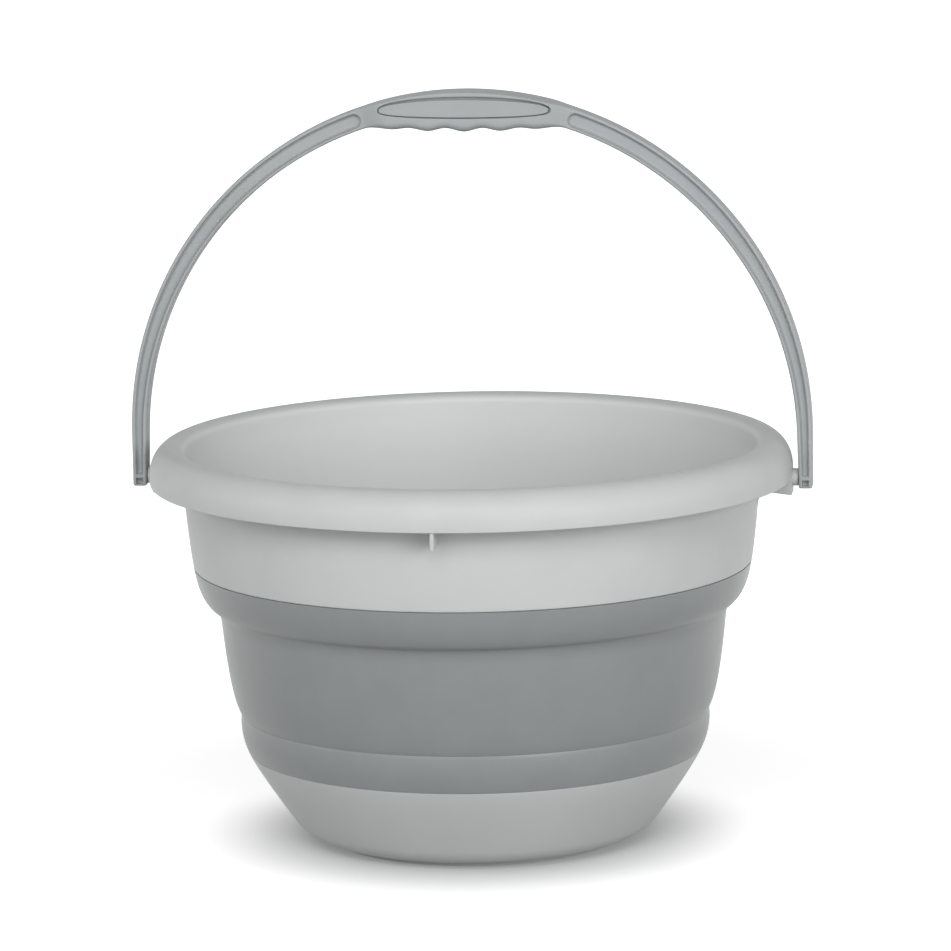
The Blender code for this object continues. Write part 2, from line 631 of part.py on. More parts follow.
def make_inlay(name, face):
    """A lens-shaped inlay sunk a little in the grip's face, with a bevelled outer edge."""
    bm = bmesh.new()
    front = face * (GRIP_DEPTH / 2 - INLAY_RECESS)
    back = front - face * INLAY_THICKNESS
    verts = add_prism(bm, inlay_outline(0), *sorted((back, front)))
    rim = [edge for edge in bm.edges if all(abs(vert.co.y - front) < WELD for vert in edge.verts)]
    bmesh.ops.bevel(bm, geom=rim, offset=INLAY_EDGE, segments=1, profile=0.5, affect="EDGES")
    return new_object(name, bm, INLAY_GREY, 0.5)


def main():
    """Clears the scene and builds the bucket, body by body, each on a frame on its joint's axis."""
    for obj in list(bpy.data.objects):
        bpy.data.objects.remove(obj)

    base_frame = new_frame("base_frame", 0, None)
    waist_frame = new_frame("waist_frame", WAIST_LOW_Z, base_frame)
    rim_frame = new_frame("rim_frame", SEAM_TOP_Z, waist_frame)
    bail_pivot = new_frame("bail_pivot", PIVOT_Z, rim_frame)

    carry(base_frame, make_base_shell(), make_lower_band(), make_middle_band())
    carry(waist_frame, make_waist_ring(), make_upper_band())
    carry(rim_frame, *make_rim_ring())
    carry(bail_pivot, *make_bail(), make_inlay("grip_inlay_front", -1),
          make_inlay("grip_inlay_back", 1))
    bpy.context.view_layer.update()


main()
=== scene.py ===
"""Looks of a collapsible camp bucket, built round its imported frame.

Metres, +Z up, X through both bail pivots, -Y the front. The wall stands open and the bail
upright, as in the frame. Each moulding is one class; each finish is one small class.
"""

import logging
import math
from collections.abc import Callable, Iterable
from dataclasses import dataclass, field
from enum import Enum

import bmesh
import bpy
from bmesh.types import BMesh
from bpy.types import Material, NodeSocket, NodeTree, Object
from mathutils import Matrix, Vector


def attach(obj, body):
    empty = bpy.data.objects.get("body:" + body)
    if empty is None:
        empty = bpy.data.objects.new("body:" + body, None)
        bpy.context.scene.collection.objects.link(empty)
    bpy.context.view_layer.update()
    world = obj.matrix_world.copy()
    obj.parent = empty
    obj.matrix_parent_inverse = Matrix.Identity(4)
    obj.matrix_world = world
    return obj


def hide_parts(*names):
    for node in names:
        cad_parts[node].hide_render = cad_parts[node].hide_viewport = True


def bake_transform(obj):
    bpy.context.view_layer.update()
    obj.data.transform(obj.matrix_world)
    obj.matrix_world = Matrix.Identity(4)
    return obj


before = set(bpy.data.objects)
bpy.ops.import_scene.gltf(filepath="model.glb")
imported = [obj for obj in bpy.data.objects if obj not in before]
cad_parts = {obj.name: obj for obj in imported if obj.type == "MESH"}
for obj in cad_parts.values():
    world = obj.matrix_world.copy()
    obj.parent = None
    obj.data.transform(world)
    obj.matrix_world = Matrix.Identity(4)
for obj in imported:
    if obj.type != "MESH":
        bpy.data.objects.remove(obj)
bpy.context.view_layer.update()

LOG = logging.getLogger("bucket")

Point = tuple[float, float]
Place = tuple[float, float, float]
Line = list[Point]

TURN = 2 * math.pi
RING_STEPS = 256
PEG_STEPS = 40
WELD = 1e-6
CLEAR_SHARE = 0.985  # how much of a wall's thickness its inside keeps at least
FACE_WEIGHT = 80
MOUTH = ((0, 1), (0.12, 0.5), (0.42, 0.12), (1, 0))  # depth and reach, as shares of a flare
FLOOR = ((1, 0), (0.3, 0.3), (0, 1))  # height and reach, as shares of a floor's rounding
GREYS = (0.3, 0.7)  # the range that most of a noise's greys lie in
WHITE = "#FFFFFF"


class Body(Enum):
    """Moving bodies of the frame."""

    BASE = "base"
    WAIST = "waist"
    RIM = "rim"
    BAIL = "bail"


class Slot(Enum):
    """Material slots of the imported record."""

    BASE = "base_plastic"
    RIM = "rim_plastic"
    BAIL = "bail_plastic"
    INLAY = "inlay_plastic"
    RUBBER = "fold_rubber"


# Outlines and curves


def curve(start: Point, handle: Point, end: Point, steps: int) -> Line:
    """Points of a curve from start to end that bends towards a handle.

    Args:
        start: first point, as (radius, height).
        handle: the point that the curve leaves for and comes from.
        end: last point.
        steps: number of spans.

    Returns:
        steps + 1 points, ends included.
    """
    line = []
    for step in range(steps + 1):
        t = step / steps
        line.append(tuple((1 - t) ** 2 * a + 2 * t * (1 - t) * h + t ** 2 * b
                          for a, h, b in zip(start, handle, end)))
    return line


def bow(start: Point, end: Point, shares: Point, steps: int) -> Line:
    """Points of a curve whose handle lies at shares of the way, in radius and in height."""
    handle = tuple(a + (b - a) * share for a, b, share in zip(start, end, shares))
    return curve(start, handle, end, steps)


def arc(centre: Point, radii: Point, start: float, end: float, steps: int) -> Line:
    """Points of an elliptical arc, whose angles in radians start at the first axis."""
    angles = [start + (end - start) * step / steps for step in range(steps + 1)]
    return [(centre[0] + radii[0] * math.cos(angle), centre[1] + radii[1] * math.sin(angle))
            for angle in angles]


def distance_to(line: Line, point: Point) -> float:
    """Finds how near a line comes to a point.

    Args:
        line: the line's points.
        point: the point.

    Returns:
        The shortest distance in metres.
    """
    best = math.inf
    for (ax, ay), (bx, by) in zip(line, line[1:]):
        dx, dy = bx - ax, by - ay
        length = dx * dx + dy * dy
        if length == 0:
            continue
        share = min(max(((point[0] - ax) * dx + (point[1] - ay) * dy) / length, 0), 1)
        best = min(best, math.hypot(point[0] - ax - share * dx, point[1] - ay - share * dy))
    return best


def inner_line(line: Line, depth: float, passes: int = 4) -> Line:
    """The inside of a wall whose outside is the line, square to it and eased at the folds.

    Args:
        line: the wall's outside, from low to high.
        depth: the wall's thickness.
        passes: how many times the result is eased.

    Returns:
        The inside's points, from low to high.
    """
    found = []
    for (ar, az), (br, bz) in zip(line, line[1:]):
        length = math.hypot(br - ar, bz - az)
        if length < WELD:
            continue
        middle = ((ar + br) / 2, (az + bz) / 2)
        point = (middle[0] - (bz - az) / length * depth, middle[1] + (br - ar) / length * depth)
        if distance_to(line, point) > depth * CLEAR_SHARE:
            found.append(point)
    found.sort(key=lambda point: point[1])
    for _ in range(passes):
        found = [found[0]] + [
            tuple((a + 2 * b + c) / 4 for a, b, c in zip(*trio))
            for trio in zip(found, found[1:], found[2:])
        ] + [found[-1]]
    return found


def part_of(line: Line, low: float, high: float) -> Line:
    """The stretch of a rising line between two heights, with both ends put in.

    Args:
        line: points as (radius, height), heights rising.
        low: height of the first point.
        high: height of the last point.

    Returns:
        The stretch, from low to high.
    """
    def at(height: float) -> Point:
        """The line's point at a height."""
        for (ar, az), (br, bz) in zip(line, line[1:]):
            if az <= height <= bz and bz > az:
                return (ar + (br - ar) * (height - az) / (bz - az), height)
        return line[0] if height < line[0][1] else line[-1]

    inside = [point for point in line if low + WELD < point[1] < high - WELD]
    return [at(low)] + inside + [at(high)]


def shifted(line: Line, inward: float) -> Line:
    """The line moved towards the axis."""
    return [(radius - inward, height) for radius, height in line]


def ease(share: float) -> float:
    """A step that eases from 0 to 1."""
    share = min(max(share, 0), 1)
    return share * share * (3 - 2 * share)


# Mesh tools


def spin_profile(profile: Line, closed: bool, steps: int = RING_STEPS) -> BMesh:
    """Spins a profile once round Z.

    Args:
        profile: points as (radius, height); an open one starts and ends on the axis.
        closed: whether the last point joins the first.
        steps: number of spans round the axis.

    Returns:
        The new bmesh, its normals outward.
    """
    bm = bmesh.new()
    verts = [bm.verts.new((radius, 0, height)) for radius, height in profile]
    pairs = list(zip(verts, verts[1:] + (verts[:1] if closed else [])))
    edges = [bm.edges.new(pair) for pair in pairs]
    bmesh.ops.spin(bm, geom=verts + edges, cent=(0, 0, 0), axis=(0, 0, 1), angle=TURN,
                   steps=steps, use_merge=True)
    bmesh.ops.remove_doubles(bm, verts=bm.verts, dist=WELD)
    bmesh.ops.recalc_face_normals(bm, faces=bm.faces)
    return bm


def loft(bm: BMesh, loops: list[list[Vector]]) -> None:
    """Adds a closed body through a row of loops with equal counts of points.

    Args:
        bm: the bmesh it is added to.
        loops: the loops' points, in order.
    """
    ring = [bm.verts.new(point) for point in loops[0]]
    edges = [bm.edges.new(pair) for pair in zip(ring, ring[1:] + ring[:1])]
    bm.faces.new(ring)
    for points in loops[1:]:
        grown = bmesh.ops.extrude_edge_only(bm, edges=edges)["geom"]
        fresh = {item for item in grown if isinstance(item, bmesh.types.BMVert)}
        partners = []
        for vert, point in zip(ring, points):
            others = (edge.other_vert(vert) for edge in vert.link_edges)
            partner = next(other for other in others if other in fresh)
            partner.co = point
            partners.append(partner)
        edges = [item for item in grown if isinstance(item, bmesh.types.BMEdge)
                 and item.verts[0] in fresh and item.verts[1] in fresh]
        ring = partners
    bm.faces.new(ring[::-1])


def round_edges(bm: BMesh, offset: float, angle: float = 30, segments: int = 3,
                where: Callable[[Vector], bool] = lambda middle: True) -> None:
    """Rounds the edges of a bmesh that turn by more than an angle.

    Args:
        bm: the bmesh.
        offset: how far the rounding reaches from the edge.
        angle: least turn in degrees.
        segments: spans across the rounding.
        where: takes an edge's middle and says whether it is rounded.
    """
    limit = math.radians(angle)
    sharp = [edge for edge in bm.edges if len(edge.link_faces) == 2
             and edge.calc_face_angle(0) > limit
             and where((edge.verts[0].co + edge.verts[1].co) / 2)]
    bmesh.ops.bevel(bm, geom=sharp, offset=offset, segments=segments, profile=0.5,
                    affect="EDGES", material=-1, clamp_overlap=True)


def add_object(name: str, data: bpy.types.ID) -> Object:
    """Adds an object with its data to the scene.

    Args:
        name: the object's name.
        data: its mesh, lamp or camera.

    Returns:
        The new object.
    """
    obj = bpy.data.objects.new(name, data)
    bpy.context.scene.collection.objects.link(obj)
    return obj


def new_piece(name: str, bm: BMesh, material: Material, sharp: float = 40) -> Object:
    """Makes an object at the origin from a bmesh, shaded smooth between sharp edges.

    Args:
        name: the piece's name.
        bm: the bmesh, which is freed.
        material: the piece's finish.
        sharp: least turn of a sharp edge, in degrees.

    Returns:
        The new object.
    """
    mesh = bpy.data.meshes.new(name)
    bm.to_mesh(mesh)
    bm.free()
    mesh.shade_smooth()
    mesh.set_sharp_from_angle(angle=math.radians(sharp))
    mesh.materials.append(material)
    return add_object(name, mesh)


def weigh_normals(obj: Object) -> None:
    """Lets wide faces keep their own shading beside small roundings.

    Args:
        obj: the piece.
    """
    modifier = obj.modifiers.new("weighted_normals", "WEIGHTED_NORMAL")
    modifier.mode = "FACE_AREA"
    modifier.weight = FACE_WEIGHT
    modifier.keep_sharp = True


def combined(body: BMesh, tool: BMesh, operation: str) -> BMesh:
    """Combines two closed bodies with an exact Boolean.

    Args:
        body: the first body, which is freed.
        tool: the second body, which is freed.
        operation: UNION or DIFFERENCE.

    Returns:
        The result as a new bmesh.
    """
    pair = []
    for bm in (body, tool):
        mesh = bpy.data.meshes.new("boolean_input")
        bm.to_mesh(mesh)
        bm.free()
        pair.append(add_object("boolean_input", mesh))
    modifier = pair[0].modifiers.new("combine", "BOOLEAN")
    modifier.operation, modifier.solver, modifier.object = operation, "EXACT", pair[1]
    result = bmesh.new()
    result.from_object(pair[0], bpy.context.evaluated_depsgraph_get())
    for obj in pair:
        mesh = obj.data
        bpy.data.objects.remove(obj)
        bpy.data.meshes.remove(mesh)
    return result


def turn_about_z(bm: BMesh, turn: float) -> None:
    """Turns a bmesh about Z by an angle in radians."""
    bmesh.ops.rotate(bm, verts=bm.verts, cent=(0, 0, 0), matrix=Matrix.Rotation(turn, 3, "Z"))


def lay_along_x(bm: BMesh, middle: Vector, turn: float = math.pi / 2) -> None:
    """Turns a bmesh that was spun round Z to lie along X, and moves it to its middle."""
    lie = Matrix.Translation(middle) @ Matrix.Rotation(turn, 4, "Y")
    bmesh.ops.transform(bm, matrix=lie, verts=bm.verts)


def join_into(bm: BMesh, other: BMesh) -> None:
    """Adds another bmesh's shells to a bmesh.

    Args:
        bm: the bmesh that they are added to.
        other: the other bmesh, which is freed.
    """
    mesh = bpy.data.meshes.new("joined")
    other.to_mesh(mesh)
    other.free()
    bm.from_mesh(mesh)
    bpy.data.meshes.remove(mesh)


def place(obj: Object, body: Body, slot: Slot, nodes: Iterable[str]) -> None:
    """Hangs a piece on a body, and hides the frame's nodes that it replaces.

    Args:
        obj: the piece.
        body: the body that it rides on.
        slot: not used.
        nodes: the frame's nodes that it replaces.
    """
    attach(obj, body.value)
    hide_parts(*nodes)
    LOG.info("%s: %d faces, rides on %s", obj.name, len(obj.data.polygons), body.value)


# Finishes


def linear(code: str) -> tuple[float, float, float, float]:
    """Turns an sRGB hex code into a linear colour.

    Args:
        code: six hex digits after a #.

    Returns:
        The linear red, green, blue and an alpha of 1.
    """
    parts = [int(code[index:index + 2], 16) / 255 for index in (1, 3, 5)]
    red, green, blue = (c / 12.92 if c <= 0.04045 else ((c + 0.055) / 1.055) ** 2.4
                        for c in parts)
    return (red, green, blue, 1.0)


def feed(node: bpy.types.Node, inputs: dict) -> None:
    """Sets a node's inputs, or links them to the sockets that feed them.

    Args:
        node: the node.
        inputs: values or output sockets by input name or index.
    """
    for name, value in inputs.items():
        if isinstance(value, NodeSocket):
            node.id_data.links.new(value, node.inputs[name])
        else:
            node.inputs[name].default_value = value


def add_node(tree: NodeTree, kind: str, inputs: dict | None = None,
             **settings: object) -> bpy.types.Node:
    """Adds a node with its settings, values and links.

    Args:
        tree: the node tree.
        kind: the node's type.
        inputs: values or output sockets by input name or index.
        settings: the node's own properties.

    Returns:
        The new node.
    """
    node = tree.nodes.new(kind)
    for name, value in settings.items():
        setattr(node, name, value)
    feed(node, inputs or {})
    return node


def showing_rays(tree: NodeTree) -> NodeSocket:
    """Tells the rays that see or mirror the studio from those that light the bucket.

    Args:
        tree: the node tree.

    Returns:
        1 for rays that see or mirror it, and 0 for the others.
    """
    path = add_node(tree, "ShaderNodeLightPath").outputs
    seen = add_node(tree, "ShaderNodeMath", {
        0: path["Is Camera Ray"], 1: path["Is Transmission Ray"]}, operation="MAXIMUM")
    return add_node(tree, "ShaderNodeMath", {
        0: seen.outputs[0], 1: path["Is Glossy Ray"]}, operation="MAXIMUM").outputs[0]


def new_material(name: str) -> Material:
    """Makes a material with nodes.

    Args:
        name: the material's name.

    Returns:
        The new material.
    """
    material = bpy.data.materials.new(name)
    material.use_nodes = True
    return material


@dataclass(frozen=True)
class MouldedPolypropylene:
    """Satin polypropylene from a spark-eroded steel mould.

    The eye gets an even, slightly waxy sheen that is broken by a fine grain, with faint
    clouds where the melt flowed and cooled unevenly.
    """

    name: str
    tint: str
    cloud: str
    low_gloss: float = 0.53
    high_gloss: float = 0.46
    ior: float = 1.49
    specular: float = 0.40
    grain: float = 0.0007  # the real grain is 0.1 mm, drawn coarser so that it shows
    grain_depth: float = 0.000022
    cloud_length: float = 0.030
    ripple_depth: float = 0.00010
    inner: str | None = None  # painted light: a paler tint on faces that look towards the bucket's axis, for the brighter light inside
    painted_light_range: Point = (-0.45, -0.98)  # how far a face looks away from the axis

    def build(self) -> Material:
        """Makes the material.

        Returns:
            The material, under the finish's name.
        """
        material = new_material(self.name)
        tree = material.node_tree
        place_in = add_node(tree, "ShaderNodeTexCoord").outputs["Object"]
        clouds = add_node(tree, "ShaderNodeTexNoise", {
            "Vector": place_in, "Scale": 1 / self.cloud_length, "Detail": 3.0,
            "Roughness": 0.55}).outputs["Fac"]
        grain = add_node(tree, "ShaderNodeTexNoise", {
            "Vector": place_in, "Scale": 1 / self.grain, "Detail": 2.0,
            "Roughness": 0.6}).outputs["Fac"]
        cloudy = add_node(tree, "ShaderNodeMapRange", {
            "Value": clouds, "From Min": GREYS[0], "From Max": GREYS[1]})
        tint = add_node(tree, "ShaderNodeMix", {
            0: cloudy.outputs["Result"], 6: linear(self.tint), 7: linear(self.cloud)},
            data_type="RGBA").outputs[2]
        # painted light: the inner faces get a paler tint for the brighter light inside the bucket
        if self.inner:
            tint = self.paint_inner_light(tree, tint)
        gloss = add_node(tree, "ShaderNodeMapRange", {
            "Value": grain, "From Min": GREYS[0], "From Max": GREYS[1],
            "To Min": self.high_gloss, "To Max": self.low_gloss})
        ripple = add_node(tree, "ShaderNodeBump", {
            "Height": clouds, "Distance": self.ripple_depth, "Strength": 0.6})
        bump = add_node(tree, "ShaderNodeBump", {
            "Height": grain, "Distance": self.grain_depth, "Strength": 0.7,
            "Normal": ripple.outputs["Normal"]})
        feed(tree.nodes["Principled BSDF"], {
            "Base Color": tint, "Roughness": gloss.outputs["Result"],
            "Normal": bump.outputs["Normal"], "IOR": self.ior,
            "Specular IOR Level": self.specular})
        return material

    def paint_inner_light(self, tree: NodeTree, tint: NodeSocket) -> NodeSocket:
        """Paints light on the inner faces: a paler tint for the brighter light inside the bucket.

        Args:
            tree: the material's tree.
            tint: the tint so far.

        Returns:
            The tint with the painted light inside.
        """
        places = add_node(tree, "ShaderNodeTexCoord").outputs
        spoke = add_node(tree, "ShaderNodeVectorMath", {
            0: places["Object"], 1: (1, 1, 0)}, operation="MULTIPLY")
        outward = add_node(tree, "ShaderNodeVectorMath", {
            0: spoke.outputs[0]}, operation="NORMALIZE")
        facing = add_node(tree, "ShaderNodeVectorMath", {
            0: outward.outputs[0], 1: places["Normal"]}, operation="DOT_PRODUCT")
        share = add_node(tree, "ShaderNodeMapRange", {
            "Value": facing.outputs["Value"], "From Min": self.painted_light_range[0],
            "From Max": self.painted_light_range[1]}, interpolation_type="SMOOTHSTEP")
        return add_node(tree, "ShaderNodeMix", {
            0: share.outputs["Result"], 6: tint, 7: linear(self.inner)},
            data_type="RGBA").outputs[2]


@dataclass(frozen=True)
class ThermoplasticRubber:
    """Matt thermoplastic rubber, moulded over the stiff parts.

    The eye gets a dense, nearly dull grey with a soft bloom at grazing angles, a fine skin
    texture, and slightly paler clouds of mould release.
    """

    name: str
    tint: str
    cloud: str
    low_gloss: float = 0.42
    high_gloss: float = 0.34
    ior: float = 1.50
    bloom: float = 0.05
    bloom_roughness: float = 0.45
    skin: float = 0.0006  # the real skin is 0.05 mm, drawn coarser so that it shows
    skin_depth: float = 0.000028
    cloud_length: float = 0.022
    cloud_range: Point = (0.35, 0.7)

    def build(self) -> Material:
        """Makes the material.

        Returns:
            The material, under the finish's name.
        """
        material = new_material(self.name)
        tree = material.node_tree
        place_in = add_node(tree, "ShaderNodeTexCoord").outputs["Object"]
        clouds = add_node(tree, "ShaderNodeTexNoise", {
            "Vector": place_in, "Scale": 1 / self.cloud_length, "Detail": 4.0,
            "Roughness": 0.6}).outputs["Fac"]
        skin = add_node(tree, "ShaderNodeTexNoise", {
            "Vector": place_in, "Scale": 1 / self.skin, "Detail": 2.0,
            "Roughness": 0.65}).outputs["Fac"]
        cloudy = add_node(tree, "ShaderNodeMapRange", {
            "Value": clouds, "From Min": self.cloud_range[0], "From Max": self.cloud_range[1]})
        tint = add_node(tree, "ShaderNodeMix", {
            0: cloudy.outputs["Result"], 6: linear(self.tint), 7: linear(self.cloud)},
            data_type="RGBA")
        gloss = add_node(tree, "ShaderNodeMapRange", {
            "Value": clouds, "From Min": GREYS[0], "From Max": GREYS[1],
            "To Min": self.high_gloss, "To Max": self.low_gloss})
        bump = add_node(tree, "ShaderNodeBump", {
            "Height": skin, "Distance": self.skin_depth, "Strength": 0.8})
        feed(tree.nodes["Principled BSDF"], {
            "Base Color": tint.outputs[2], "Roughness": gloss.outputs["Result"],
            "Normal": bump.outputs["Normal"], "IOR": self.ior, "Sheen Weight": self.bloom,
            "Sheen Roughness": self.bloom_roughness})
        return material


@dataclass
class Finishes:
    """The bucket's five finishes."""

    # the rim's inner faces carry painted light, a paler tint
    rim: Material = field(default_factory=MouldedPolypropylene(
        "polypropylene_rim_satin", "#C9CCCA", "#C5C8C7", inner="#D9DCDA").build)
    base: Material = field(default_factory=MouldedPolypropylene(
        "polypropylene_base_satin", "#C6C9C8", "#C2C6C5").build)
    bail: Material = field(default_factory=MouldedPolypropylene(
        "polypropylene_bail_satin", "#A8ACAD", "#A4A8A9", grain_depth=0.000010).build)
    inlay: Material = field(default_factory=MouldedPolypropylene(
        "polypropylene_inlay_matt", "#A8ACAC", "#A4A8A8", 0.56, 0.50).build)
    rubber: Material = field(default_factory=ThermoplasticRubber(
        "thermoplastic_rubber_matt", "#858989", "#898D8D").build)


# The bucket's wall, whose lines the mouldings share


@dataclass
class WallLines:
    """Radii and heights of the open wall's outside at its joints, and the lines between."""

    seam_low: Point = (0.1138, 0.0450)
    shoulder: Point = (0.1171, 0.0595)
    crease: Point = (0.1167, 0.0640)
    waist: Point = (0.1258, 0.1104)
    lip: Point = (0.1308, 0.1195)
    seam_top: Point = (0.1390, 0.1390)
    root: Point = (0.1442, 0.1900)
    bowl_corner: Point = (0.0858, 0.0022)
    bowl_handle: Point = (0.1103, 0.0369)
    heel_radius: float = 0.0200
    rubber_wall: float = 0.0022
    rim_wall: float = 0.0022
    base_wall: float = 0.0024
    lap_height: float = 0.0050
    lap_skin: float = 0.0011
    parting: float = 0.00020
    above_root: Point = (0.001, 0.010)
    steps: int = 22

    def __post_init__(self) -> None:
        """Works out the heel's arc, the outside and the inside."""
        rise = self.bowl_handle[1] - self.bowl_corner[1]
        self.bowl_angle = math.atan2(rise, self.bowl_handle[0] - self.bowl_corner[0])
        self.heel_centre = (
            self.bowl_corner[0] - self.heel_radius * math.tan(self.bowl_angle / 2),
            self.bowl_corner[1] + self.heel_radius)
        self.heel_top = (
            self.heel_centre[0] + self.heel_radius * math.sin(self.bowl_angle),
            self.heel_centre[1] - self.heel_radius * math.cos(self.bowl_angle))
        bows = [
            (self.seam_low, self.shoulder, (1.0, 0.48)),
            (self.shoulder, self.crease, (0.0, 0.69)),
            (self.crease, self.waist, (0.585, 0.16)),
            (self.waist, self.lip, (0.18, 0.90)),
            (self.lip, self.seam_top, (0.735, 0.24)),
            (self.seam_top, self.root, (0.43, 0.25)),
        ]
        self.outside: Line = curve(self.heel_top, self.bowl_handle, self.seam_low, self.steps)
        for start, end, shares in bows:
            self.outside += bow(start, end, shares, self.steps)[1:]
        above = (self.root[0] + self.above_root[0], self.root[1] + self.above_root[1])
        self.inside = inner_line(self.outside + [above], self.rubber_wall)

    def outer(self, low: float, high: float) -> Line:
        """The outside between two heights."""
        return part_of(self.outside, low, high)

    def inner(self, low: float, high: float) -> Line:
        """The rubber's inside between two heights."""
        return part_of(self.inside, low, high)

    def sunk(self, low: float, high: float, depth: float) -> Line:
        """A line that lies a depth inside the outside, for the laps."""
        return shifted(self.outer(low, high), depth)


@dataclass
class BaseMoulding:
    """The stiff bowl with its foot ring and the tongue inside the rubber's low edge."""

    walls: WallLines
    finish: Material
    foot_radius: float = 0.0745
    foot_wall: float = 0.0027
    edge: float = 0.0004
    gate_radius: float = 0.0045
    gate_depth: float = 0.0007
    heel_steps: int = 12

    def profile(self) -> Line:
        """Works out the bowl's section.

        Returns:
            Its points, from the axis under the floor to the axis over it.
        """
        w = self.walls
        floor_low = w.bowl_corner[1]
        floor_high = floor_low + w.base_wall
        seam = w.seam_low[1]
        tongue_top = seam + w.lap_height
        tongue = w.lap_skin + w.parting
        foot_angle = math.asin((self.foot_radius - w.heel_centre[0]) / w.heel_radius)
        line = [(0, floor_low + self.gate_depth), (self.gate_radius, floor_low + self.gate_depth),
                (self.gate_radius + self.gate_depth / 2, floor_low),
                (self.foot_radius - self.foot_wall, floor_low),
                (self.foot_radius - self.foot_wall, 0), (self.foot_radius, 0)]
        line += arc(w.heel_centre, (w.heel_radius, w.heel_radius), foot_angle - math.pi / 2,
                    w.bowl_angle - math.pi / 2, self.heel_steps)
        line += w.outer(w.heel_top[1], seam)[1:]
        line += w.sunk(seam, tongue_top, tongue)
        inside = inner_line(w.outside, w.base_wall)
        inner_heel = w.heel_radius - w.base_wall
        inner_arc = arc(w.heel_centre, (inner_heel, inner_heel), w.bowl_angle - math.pi / 2,
                        -math.pi / 2, self.heel_steps)
        line += part_of(inside, inner_arc[0][1] + w.base_wall / 4, tongue_top)[::-1]
        line += inner_arc
        return line + [(0, floor_high)]

    def build(self) -> None:
        """Makes the bowl and hangs it on the base."""
        bm = spin_profile(self.profile(), closed=False)
        round_edges(bm, self.edge)
        obj = new_piece("base_moulding", bm, self.finish)
        place(obj, Body.BASE, Slot.BASE, ["base_shell"])


@dataclass
class FoldingSleeve:
    """The soft wall, split at the lip's sharp edge into two halves."""

    walls: WallLines
    finish: Material
    sharp: float = 28
    upper_turn: Point = (0.1216, 0.1335)

    def lip_inside(self) -> Point:
        """The point of the inside that is nearest to the lip."""
        lip = self.walls.lip
        return min(self.walls.inside,
                   key=lambda point: math.hypot(point[0] - lip[0], point[1] - lip[1]))

    def lower_profile(self) -> Line:
        """Works out the section from the low seam to the lip.

        Returns:
            Its points, up the outside and down the inside.
        """
        w = self.walls
        low = w.seam_low[1] + w.parting
        lap = w.seam_low[1] + w.lap_height + w.parting
        line = w.outer(low, w.lip[1])
        line += w.inner(lap, self.lip_inside()[1])[::-1]
        line += w.sunk(low, lap, w.lap_skin)[::-1]
        return line

    def upper_profile(self) -> Line:
        """Works out the section from the lip to the top seam.

        Returns:
            Its points, up the outside and down the inside.
        """
        w = self.walls
        top = w.seam_top[1] - w.parting
        lap = w.seam_top[1] - w.lap_height - w.parting
        line = w.outer(w.lip[1], top)
        line += w.sunk(lap, top, w.lap_skin)[::-1]
        line += w.inner(self.lip_inside()[1], lap)[::-1]
        return line

    def build(self) -> None:
        """Makes both halves and hides the frame's nodes that they replace."""
        w = self.walls
        halves = [
            ("sleeve_lower", self.lower_profile(), (Body.BASE, Body.WAIST),
             (w.crease[1], w.waist[1]), ["lower_band", "middle_band", "waist_ring"]),
            ("sleeve_upper", self.upper_profile(), (Body.WAIST, Body.RIM),
             self.upper_turn, ["upper_band"]),
        ]
        for name, profile, bodies, turns, nodes in halves:
            bm = spin_profile(profile, closed=True)
            obj = new_piece(name, bm, self.finish, self.sharp)
            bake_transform(obj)
            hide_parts(*nodes)
            LOG.info("%s: %d faces, bends from %s to %s", name, len(obj.data.polygons),
                     bodies[0].value, bodies[1].value)


